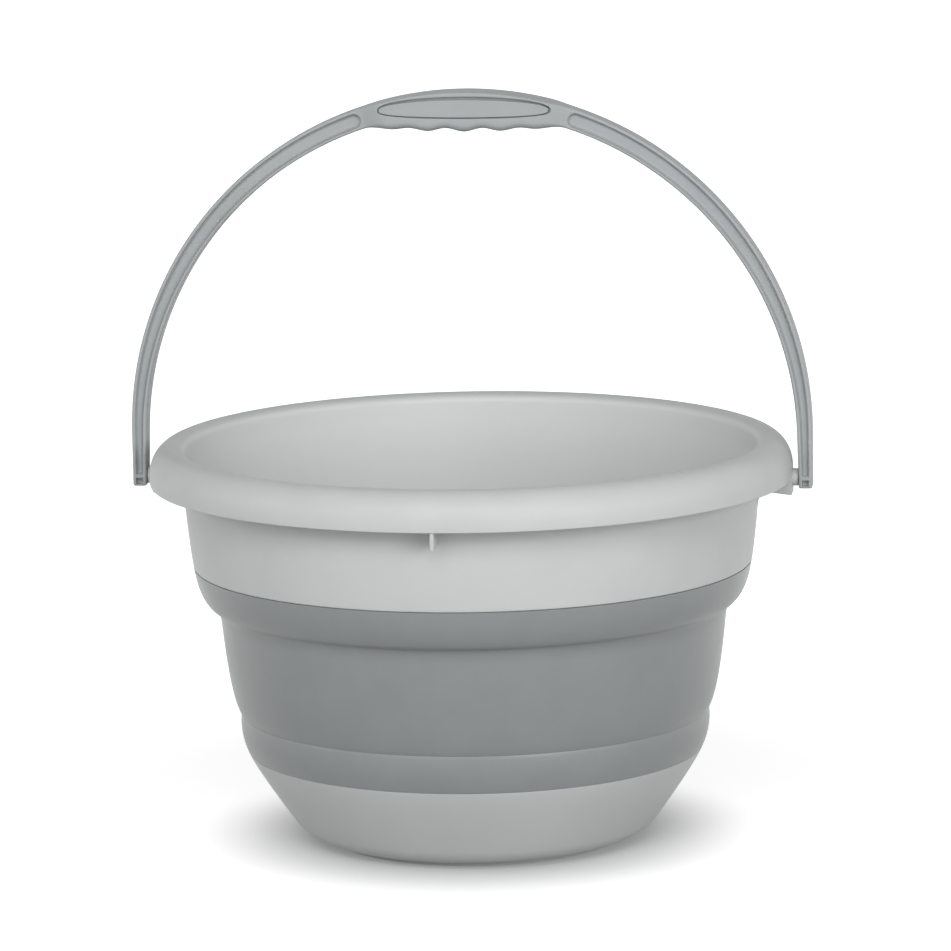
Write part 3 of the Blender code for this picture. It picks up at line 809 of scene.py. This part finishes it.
@dataclass
class RimMoulding:
    """The stiff rim: wall, rolled flange, bail ears with bored bosses, front and back ribs."""

    walls: WallLines
    finish: Material
    radius: float = 0.1597
    crest: Point = (0.1482, 0.2000)
    mouth: Point = (0.1420, 0.1950)
    skirt_top: float = 0.1855
    skirt_low: float = 0.1810
    edge: float = 0.0005
    ear_face: float = 0.1597
    ear_plate: float = 0.0022
    ear_width: float = 0.0130
    ear_low: float = 0.1727
    ear_high: float = 0.1880
    web: float = 0.0020
    web_foot: float = 0.1680
    web_waist: Point = (0.1480, 0.1742)
    rib: float = 0.0022
    rib_low: float = 0.1722
    boss_radius: float = 0.00435
    boss_length: float = 0.0029
    bore_radius: float = 0.0029
    boss_edge: float = 0.00035
    plate_step: float = 0.0001  # how far the ear's plate stays behind its webs' edges
    plate_edge: float = 0.0003
    web_edge: float = 0.0004
    web_fall: float = 0.0004
    web_sink: float = 0.0008
    rib_edge: float = 0.0008
    rib_sink: float = 0.0010
    root_shares: Point = (0.08, 0.93)
    crest_shares: Point = (0.96, 0.14)
    web_shares: Point = (0.15, 0.85)
    rounded_from: float = 0.137
    flange_steps: int = 20
    steps: int = 8

    def flange(self, inset: float, steps: int) -> Line:
        """The flange's curve from the skirt's top to the crest, inset below its face."""
        radii = (self.radius - self.crest[0] - inset, self.crest[1] - self.skirt_top - inset)
        return arc((self.crest[0], self.skirt_top), radii, 0, math.pi / 2, steps)

    def profile(self) -> Line:
        """Works out the rim's section.

        Returns:
            Its points, from the seam up the outside and down the inside.
        """
        w = self.walls
        seam = w.seam_top[1]
        tongue_low = seam - w.lap_height
        hollow = self.flange(w.rim_wall, self.flange_steps)
        line = w.outer(seam, w.root[1])
        line += bow(w.root, hollow[-1], self.root_shares, self.steps)[1:-1]
        line += hollow[::-1]
        line += [(self.radius - w.rim_wall, self.skirt_low), (self.radius, self.skirt_low)]
        line += self.flange(0, self.flange_steps)
        line += bow(self.crest, self.mouth, self.crest_shares, self.steps)[1:]
        line += shifted(w.outer(tongue_low, w.root[1]), w.rim_wall)[::-1]
        line += w.sunk(tongue_low, seam, w.lap_skin + w.parting)
        return line

    def upright(self, outline: Line, thickness: float, offset: float, turn: float,
                edge: float) -> BMesh:
        """A web that stands square to the wall.

        Args:
            outline: its outline as (radius, height) points.
            thickness: its thickness.
            offset: its middle's distance from the radius that it stands on.
            turn: that radius's angle from +X.
            edge: the rounding of its free edges.

        Returns:
            The web as a bmesh.
        """
        bm = bmesh.new()
        face = bm.faces.new([bm.verts.new((r, offset - thickness / 2, z)) for r, z in outline])
        grown = bmesh.ops.extrude_face_region(bm, geom=[face])["geom"]
        verts = [item for item in grown if isinstance(item, bmesh.types.BMVert)]
        bmesh.ops.translate(bm, verts=verts, vec=(0, thickness, 0))
        bmesh.ops.recalc_face_normals(bm, faces=bm.faces)
        round_edges(bm, edge, angle=40, segments=2)
        turn_about_z(bm, turn)
        return bm

    def hollow_line(self) -> Line:
        """Works out the line in the middle of the rim's thickness.

        Returns:
            Its points, from the wall over to the skirt.
        """
        wall = self.walls.rim_wall
        start = (self.walls.root[0] - wall / 2, self.walls.root[1])
        return [start] + self.flange(wall / 2, self.steps)[::-1]

    def wall_radius(self, height: float) -> float:
        """The radius of the wall's outside at a height."""
        return self.walls.outer(height, self.walls.root[1])[0][0]

    def ear(self, turn: float) -> BMesh:
        """Makes one ear: a plate, two webs to the wall and a boss for the bail's peg.

        Args:
            turn: the angle from +X at which it stands.

        Returns:
            The ear as a bmesh.
        """
        back, front = self.ear_face - self.ear_plate, self.ear_face - self.plate_step
        ear = self.upright(
            [(back, self.ear_low), (front, self.ear_low), (front, self.ear_high),
             (back, self.ear_high)],
            self.ear_width - 2 * self.web + self.web_sink, 0, 0, self.plate_edge)
        foot = (self.wall_radius(self.web_foot), self.web_foot)
        outline = [(foot[0] - self.web_sink, foot[1] - self.web_fall)] + self.hollow_line()
        outline += [(self.ear_face, self.skirt_top), (self.ear_face, self.ear_low)]
        outline += bow(foot, self.web_waist, self.web_shares, self.steps)[::-1]
        for side in (-1, 1):
            offset = side * (self.ear_width - self.web) / 2
            join_into(ear, self.upright(outline, self.web, offset, 0, self.web_edge))
        half = (self.ear_plate / 2 + self.boss_length) / 2
        boss = spin_profile([
            (self.bore_radius, -half), (self.boss_radius, -half),
            (self.boss_radius, half), (self.bore_radius, half)],
            closed=True, steps=PEG_STEPS)
        round_edges(boss, self.boss_edge)
        lay_along_x(boss, Vector((self.ear_face - self.ear_plate / 2 + half, 0, self.skirt_low)))
        join_into(ear, boss)
        turn_about_z(ear, turn)
        return ear

    def build(self) -> None:
        """Makes the rim and hangs it on its body."""
        bm = spin_profile(self.profile(), closed=True)
        round_edges(bm, self.edge, angle=28, where=lambda at: at.z > self.rounded_from)
        for turn in (0, math.pi):
            join_into(bm, self.ear(turn))
        middle = self.radius - self.walls.rim_wall / 2
        outline = [(self.wall_radius(self.rib_low) - self.rib_sink, self.rib_low)]
        outline += self.hollow_line() + [(middle, self.skirt_low), (middle, self.rib_low)]
        for turn in (math.pi / 2, -math.pi / 2):
            join_into(bm, self.upright(outline, self.rib, 0, turn, self.rib_edge))
        obj = new_piece("rim_moulding", bm, self.finish)
        place(obj, Body.RIM, Slot.RIM, ["rim_ring"])


@dataclass
class Bail:
    """The bail: channelled arms that bend over into a scalloped grip, with snap pegs."""

    finish: Material
    inlay_finish: Material
    pivot: float = 0.1810
    rise: float = 0.0225
    radius: float = 0.1697
    foot_width: float = 0.0068
    top_width: float = 0.0104
    swell: float = 1.9
    arm_depth: float = 0.0120
    grip_depth: float = 0.0200
    grip_length: float = 0.0955
    grip_sag: float = 0.0012
    grip_blend: float = 0.0140
    corner: float = 0.0008
    pitch: float = 0.0185
    scallop: float = 0.0017
    arm_end: float = 0.0050
    arm_edge: float = 0.0011
    tip_share: float = 0.6  # how much of a tip's inset its edges lose
    grip_edge: float = 0.0036
    channel_depth: float = 0.0028
    channel_draft: float = 0.0005
    channel_edge: float = 0.0012
    pocket_edge: float = 0.0003
    border: float = 0.0017
    top_thinning: float = 0.0003
    tip_border: float = 0.0012
    grip_gap: float = 0.0056
    cross_rib: float = 0.0018
    flare: float = 0.0003
    overrun: float = 0.0020
    peg_radius: float = 0.0026
    peg_lip: float = 0.0008
    peg_head: float = 0.0028
    peg_face: float = 0.1572
    peg_sink: float = 0.0010
    peg_edge: float = 0.0002
    peg_neck_share: float = 0.4
    peg_shares: Point = (0.1, 0.9)
    inlay_length: float = 0.0840
    inlay_rise: float = 0.0049
    inlay_fall: float = 0.0038
    inlay_drop: float = 0.0089
    inlay_thickness: float = 0.0012
    inlay_sink: float = 0.0014
    inlay_shares: Point = (0.92, 0.62)
    inlay_crown: tuple[Point, ...] = (
        (-0.0003, 0), (-0.00014, 0.00006), (-0.00004, 0.00016), (0, 0.00035))
    lens_flare: float = 0.0004
    lens_edge: float = 0.0002
    groove: float = 0.00045
    groove_top: float = 0.0012
    groove_right: float = 0.0009
    inlay_steps: int = 96
    corner_steps: int = 5
    rise_steps: int = 6
    arm_steps: int = 60
    grip_steps: int = 120
    channel_steps: int = 48
    channel_end_steps: int = 14
    peg_steps: int = 4
    sharp: float = 58

    def __post_init__(self) -> None:
        """Works out the lengths along the bail at which its parts change."""
        self.bend = math.pi * self.radius
        self.total = 2 * self.rise + self.bend
        self.grip_angle = math.acos(self.grip_length / 2 / self.radius)
        self.grip_floor = math.sqrt((self.radius - self.top_width) ** 2
                                    - (self.grip_length / 2) ** 2)
        self.arm_length = self.rise + self.radius * self.grip_angle
        self.centre = self.pivot + self.rise

    def arm_width(self, length: float) -> float:
        """An arm's width in the bail's plane at a length up from its pivot."""
        left = 1 - min(max(length / self.arm_length, 0), 1)
        return self.foot_width + (self.top_width - self.foot_width) * (1 - left ** self.swell)

    def underside(self, x: float) -> float:
        """Works out the height of the scalloped underside.

        Args:
            x: the distance from the grip's middle.

        Returns:
            The height above the bend's centre.
        """
        fade = max(1 - (x / (self.grip_length / 2)) ** 2, 0)
        wave = self.scallop / 2 * math.cos(TURN * x / self.pitch)
        return self.grip_floor - fade * (self.grip_sag + wave)

    def at(self, length: float) -> tuple[Vector, Vector, float, float, float]:
        """The bail's shape at a length along its outside from one pivot.

        Args:
            length: the length, which runs on over the grip to the other pivot.

        Returns:
            The outer point, the inward direction, the width, the depth, and how far the
            section is a grip, from 0 to 1.
        """
        if length <= self.rise:
            point, inward = Vector((self.radius, 0, self.pivot + length)), Vector((-1, 0, 0))
        elif length >= self.rise + self.bend:
            height = self.pivot + self.total - length
            point, inward = Vector((-self.radius, 0, height)), Vector((1, 0, 0))
        else:
            angle = (length - self.rise) / self.radius
            inward = -Vector((math.cos(angle), 0, math.sin(angle)))
            point = -inward * self.radius + Vector((0, 0, self.centre))
        from_foot = min(length, self.total - length)
        width = self.arm_width(from_foot)
        past_arm = from_foot - self.arm_length
        if past_arm > -self.grip_blend / 2:
            floor_x = point.x * self.grip_floor / (point.z - self.centre)
            floor = self.radius + self.underside(floor_x) / inward.z
            share = min(max(0.5 + (floor - width) / (2 * self.corner), 0), 1)
            width += (floor - width) * share + self.corner * share * (1 - share)
        grip = ease(past_arm / self.grip_blend + 1 / 2)
        depth = self.arm_depth + (self.grip_depth - self.arm_depth) * grip
        return point, inward, width, depth, grip

    def section(self, length: float, inset: float) -> list[Vector]:
        """Works out the rounded section at a length along the bail.

        Args:
            length: the length from one pivot.
            inset: how far it is drawn in, at the arms' tips.

        Returns:
            The section's points.
        """
        point, inward, width, depth, grip = self.at(length)
        half = depth / 2 - inset
        top_edge = self.arm_edge - inset * self.tip_share
        low_edge = top_edge + (self.grip_edge - self.arm_edge) * grip
        line = []
        corners = [(inset + top_edge, half - top_edge, top_edge, math.pi / 2),
                   (width - inset - low_edge, half - low_edge, low_edge, 0),
                   (width - inset - low_edge, low_edge - half, low_edge, -math.pi / 2),
                   (inset + top_edge, top_edge - half, top_edge, -math.pi)]
        for across, side, edge, start in corners:
            for step in range(self.corner_steps + 1):
                angle = start + math.pi / 2 - math.pi / 2 * step / self.corner_steps
                line.append(point + inward * (across + edge * math.cos(angle))
                            + Vector((0, side + edge * math.sin(angle), 0)))
        return line

    def body(self) -> BMesh:
        """Makes the bail without its recesses and pegs.

        Returns:
            The body as a bmesh.
        """
        angles = [math.pi / 2 * step / self.corner_steps for step in range(self.corner_steps + 1)]
        half = [(-self.arm_end + self.arm_edge * (1 - math.cos(angle)),
                 self.arm_edge * (1 - math.sin(angle))) for angle in angles]
        arm_top = self.arm_length - self.grip_blend
        half += [(self.rise * step / self.rise_steps, 0) for step in range(self.rise_steps + 1)]
        half += [(self.rise + (arm_top - self.rise) * step / self.arm_steps, 0)
                 for step in range(1, self.arm_steps + 1)]
        grip = [(arm_top + (self.total - 2 * arm_top) * step / self.grip_steps, 0)
                for step in range(1, self.grip_steps)]
        rest = [(self.total - length, inset) for length, inset in reversed(half)]
        bm = bmesh.new()
        loft(bm, [self.section(length, inset) for length, inset in half + grip + rest])
        bmesh.ops.recalc_face_normals(bm, faces=bm.faces)
        return bm

    def recess(self, bm: BMesh, outline: Callable[[float], Line],
               face: float, depth: float, floor_edge: float, flare: float,
               draft: float = 0.0001) -> None:
        """Adds the cutter of a recess with a rounded mouth and a rounded floor.

        Args:
            bm: the bmesh it is added to.
            outline: gives the outline, as (x, z) points, drawn in by a distance.
            face: the y of the face that it is cut into, whose sign is the side.
            depth: the recess's depth.
            floor_edge: the rounding along its floor.
            flare: the rounding along its mouth.
            draft: how far its walls lean in.
        """
        side = math.copysign(1, face)
        layers = [(self.overrun, -flare)]
        layers += [(-deep * flare, -wide * flare) for deep, wide in MOUTH]
        layers += [(high * floor_edge - depth, draft + tight * floor_edge)
                   for high, tight in FLOOR]
        loops = [[Vector((x, face + side * out, z)) for x, z in outline(inset)]
                 for out, inset in layers]
        loft(bm, loops)

    def channel(self, side: int, inset: float) -> Line:
        """Works out the outline of the long channel in an arm.

        Args:
            side: 1 for the arm at +X and -1 for the other.
            inset: how far it is drawn in.

        Returns:
            The outline as (x, z) points.
        """
        low = self.cross_rib / 2
        high = self.arm_length - self.grip_gap - self.top_width / 2 + self.border
        near, far = [], []
        for step in range(self.channel_steps + 1):
            length = low + inset + (high - low - inset) * step / self.channel_steps
            thinning = ease(length / high) * self.top_thinning
            near.append((length, self.border + inset))
            far.append((length, self.arm_width(length) - self.border + thinning - inset))
        radius = (far[-1][1] - near[-1][1]) / 2
        middle = near[-1][1] + radius
        end = [(high + radius * math.sin(angle), middle - radius * math.cos(angle))
               for angle in (math.pi * step / self.channel_end_steps
                             for step in range(1, self.channel_end_steps))]
        line = []
        for length, across in near + end + far[::-1]:
            point, inward = self.at(length)[:2]
            place_at = point + inward * across
            line.append((side * place_at.x, place_at.z))
        return line

    def pocket(self, side: int, inset: float) -> Line:
        """Works out the outline of the small pocket under the pivot.

        Args:
            side: 1 for the arm at +X and -1 for the other.
            inset: how far it is drawn in.

        Returns:
            The outline as (x, z) points.
        """
        low = self.pivot - self.arm_end + self.tip_border + inset
        high = self.pivot - self.cross_rib / 2 - inset
        out = self.radius - self.border - inset
        inn = self.radius - self.foot_width + self.border + inset
        return [(side * inn, low), (side * out, low), (side * out, high), (side * inn, high)]

    def lens(self, inset: float, raised: float = 0, longer: float = 0) -> Line:
        """The outline of an inlay on the grip's face.

        Args:
            inset: how far it is drawn in all round.
            raised: how much higher its upper half stands.
            longer: how much further it reaches at its right end.

        Returns:
            The outline as (x, z) points.
        """
        centre = self.centre + self.radius - self.inlay_drop
        line = []
        for step in range(self.inlay_steps):
            angle = TURN * step / self.inlay_steps
            x, rise = (self.inlay_length / 2 - inset) * math.cos(angle), math.sin(angle)
            x += longer * max(math.cos(angle), 0)
            if rise >= 0:
                z = (self.inlay_rise + raised - inset) * rise ** self.inlay_shares[0]
            else:
                z = (inset - self.inlay_fall) * (-rise) ** self.inlay_shares[1]
            line.append((x, centre + z))
        return line

    def pegs(self) -> BMesh:
        """Makes the two snap pegs, with rounded heads.

        Returns:
            The pegs as a bmesh.
        """
        root = self.radius - self.foot_width + self.peg_sink
        neck = self.peg_radius
        head = neck + self.peg_lip
        shoulder = (head, self.peg_face - self.peg_head * self.peg_neck_share)
        tip = (neck - self.peg_lip, self.peg_face - self.peg_head)
        line = [(0, root), (neck, root), (neck, self.peg_face), (head, self.peg_face)]
        line += bow(shoulder, tip, self.peg_shares, self.peg_steps) + [(0, tip[1])]
        pegs = bmesh.new()
        for side in (1, -1):
            peg = spin_profile(line, closed=False, steps=PEG_STEPS)
            round_edges(peg, self.peg_edge, angle=60, segments=2)
            lay_along_x(peg, Vector((0, 0, self.pivot)), side * math.pi / 2)
            join_into(pegs, peg)
        return pegs

    def build(self) -> None:
        """Makes the bail and both inlays and hangs them on the bail's body."""
        cutters = bmesh.new()
        arm_face, grip_face = self.arm_depth / 2, self.grip_depth / 2
        for face in (1, -1):
            for side in (1, -1):
                self.recess(cutters, lambda inset, side=side: self.channel(side, inset),
                            face * arm_face, self.channel_depth, self.channel_edge,
                            self.flare, self.channel_draft)
                self.recess(cutters, lambda inset, side=side: self.pocket(side, inset),
                            face * arm_face, self.channel_depth, self.pocket_edge, self.flare)
            self.recess(cutters, lambda inset: self.lens(
                inset - self.groove, self.groove_top, self.groove_right), face * grip_face,
                        self.inlay_sink + self.inlay_thickness + self.groove,
                        self.lens_edge, self.lens_flare)
        bmesh.ops.recalc_face_normals(cutters, faces=cutters.faces)
        bm = combined(self.body(), cutters, "DIFFERENCE")
        bm = combined(bm, self.pegs(), "UNION")
        obj = new_piece("bail_moulding", bm, self.finish, self.sharp)
        weigh_normals(obj)
        place(obj, Body.BAIL, Slot.BAIL, ["bail"])
        for name, face in (("front", -1), ("back", 1)):
            self.inlay(f"grip_lens_{name}", face * (grip_face - self.inlay_sink),
                       f"grip_inlay_{name}")

    def inlay(self, name: str, face: float, node: str) -> None:
        """Makes one inlay, softly crowned at its edge.

        Args:
            name: the piece's name.
            face: the y of its face.
            node: the frame's node that it replaces.
        """
        side = math.copysign(1, face)
        bm = bmesh.new()
        loft(bm, [[Vector((x, face + side * out, z)) for x, z in self.lens(inset)]
                  for out, inset in ((-self.inlay_thickness, 0), *self.inlay_crown)])
        bmesh.ops.recalc_face_normals(bm, faces=bm.faces)
        obj = new_piece(name, bm, self.inlay_finish, self.sharp)
        weigh_normals(obj)
        place(obj, Body.BAIL, Slot.INLAY, [node])


# Studio


def looking(eye: Vector, aim: Vector) -> Matrix:
    """The place and turn of what stands at one point and looks at another."""
    return Matrix.Translation(eye) @ (aim - eye).to_track_quat("-Z", "Y").to_matrix().to_4x4()


@dataclass(frozen=True)
class Lamp:
    """A soft rectangular lamp that looks at the bucket."""

    name: str
    place: Place
    power: float
    size: Point = (1.4, 1.0)
    aim: Place = (0, 0, 0.15)

    def build(self) -> None:
        """Makes the lamp."""
        light = bpy.data.lights.new(self.name, "AREA")
        light.shape = "RECTANGLE"
        light.size, light.size_y = self.size
        light.energy = self.power
        add_object(self.name, light).matrix_world = looking(Vector(self.place), Vector(self.aim))


STRIP = (0.35, 1.1)
LAMPS = (
    Lamp("front_right_soft", (1.61, -2.06, 0.80), 24),
    Lamp("front_left_soft", (-1.11, -2.37, 0.80), 9),
    Lamp("high_soft", (0.0, -2.29, 1.58), 28, (1.6, 1.0)),
    Lamp("right_soft", (2.53, -0.68, 0.80), 9),
    Lamp("left_soft", (-2.53, -0.68, 0.80), 12),
    Lamp("right_edge_strip", (1.45, 1.10, 0.45), 1.0, STRIP),
    Lamp("left_edge_strip", (-1.55, 0.75, 0.45), 0.9, STRIP),
)


@dataclass
class Studio:
    """White floor and air, soft lamps, and the camera at the photograph's angle."""

    distance: float = 2.8
    height: float = 0.665
    azimuth: float = 7.0
    roll: float = -0.97
    aim_x: float = 0.0020
    aim_z: float = 0.181
    pixel: float = 0.4970e-3
    pixels: int = 951
    sensor: float = 36.0
    air: float = 0.12
    floor_radius: float = 14.0
    floor_drop: float = 0.0002
    floor_steps: int = 96
    paper: str = "#BEBEBE"
    near: Point = (0.075, 0.150)  # from the bucket's axis, where the painted shadow, a dimmed glow round the foot, ends
    # painted shadow: the floor's glow, dimmed round the bucket's foot
    painted_shadow_glow: Point = (0.16, 0.80)
    far: Point = (0.20, 0.60)  # from the axis, where the paper turns to plain white
    far_glow: Point = (0.0, 0.45)

    def camera(self) -> None:
        """Makes the camera, whose frame spans the photograph's width in pixels at the point it
        aims at.
        """
        angle = math.radians(self.azimuth)
        right = Vector((math.cos(angle), math.sin(angle), 0))
        eye = Vector((self.distance * math.sin(angle), -self.distance * math.cos(angle),
                      self.height))
        aim = Vector((0, 0, self.aim_z)) + right * self.aim_x
        data = bpy.data.cameras.new("camera")
        data.sensor_width = self.sensor
        data.lens = self.sensor * (aim - eye).length / (self.pixels * self.pixel)
        obj = add_object("camera", data)
        obj.matrix_world = looking(eye, aim) @ Matrix.Rotation(math.radians(self.roll), 4, "Z")
        bpy.context.scene.camera = obj

    def world(self) -> None:
        """Makes the air: soft light all round, and white where it is seen or mirrored."""
        world = bpy.data.worlds.new("studio_air")
        bpy.context.scene.world = world
        world.use_nodes = True
        tree = world.node_tree
        strength = add_node(tree, "ShaderNodeMapRange", {
            "Value": showing_rays(tree), "To Min": self.air, "To Max": 1.0})
        feed(tree.nodes["Background"], {
            "Color": linear(WHITE), "Strength": strength.outputs["Result"]})

    def floor(self) -> None:
        """Makes the floor, which fades to white away from the bucket and keeps its real shadow,
        with a painted shadow where its glow is dimmed round the foot.
        """
        bm = bmesh.new()
        bmesh.ops.create_circle(bm, cap_ends=True, segments=self.floor_steps,
                                radius=self.floor_radius,
                                matrix=Matrix.Translation((0, 0, -self.floor_drop)))
        material = new_material("studio_paper_white")
        tree = material.node_tree
        tree.nodes.clear()
        place_in = add_node(tree, "ShaderNodeTexCoord").outputs["Object"]
        away = add_node(tree, "ShaderNodeVectorMath", {0: place_in},
                        operation="LENGTH").outputs["Value"]
        # painted shadow: near the bucket the glow is dimmed
        near, far = (add_node(tree, "ShaderNodeMapRange", {
            "Value": away, "From Min": reach[0], "From Max": reach[1], "To Min": levels[0],
            "To Max": levels[1]}, interpolation_type="SMOOTHSTEP").outputs["Result"]
            for reach, levels in ((self.near, self.painted_shadow_glow), (self.far, self.far_glow)))
        glow = add_node(tree, "ShaderNodeMath", {0: near, 1: far}, operation="ADD")
        shown = add_node(tree, "ShaderNodeMath", {
            0: glow.outputs[0], 1: showing_rays(tree)}, operation="MULTIPLY")
        paper = add_node(tree, "ShaderNodeBsdfDiffuse", {"Color": linear(self.paper)})
        light = add_node(tree, "ShaderNodeEmission", {
            "Color": linear(WHITE), "Strength": shown.outputs[0]})
        both = add_node(tree, "ShaderNodeAddShader", {0: paper.outputs[0], 1: light.outputs[0]})
        add_node(tree, "ShaderNodeOutputMaterial", {"Surface": both.outputs[0]})
        obj = new_piece("studio_floor", bm, material)

    def build(self) -> None:
        """Makes the whole studio."""
        bpy.context.scene.view_settings.view_transform = "Standard"
        self.camera()
        self.world()
        self.floor()
        for lamp in LAMPS:
            lamp.build()


def main() -> None:
    """Builds the studio and the bucket in order, and reports each piece."""
    logging.basicConfig(level=logging.INFO, format="%(name)s: %(message)s")
    Studio().build()
    finishes = Finishes()
    walls = WallLines()
    BaseMoulding(walls, finishes.base).build()
    FoldingSleeve(walls, finishes.rubber).build()
    RimMoulding(walls, finishes.rim).build()
    Bail(finishes.bail, finishes.inlay).build()


if __name__ == "__main__":
    main()
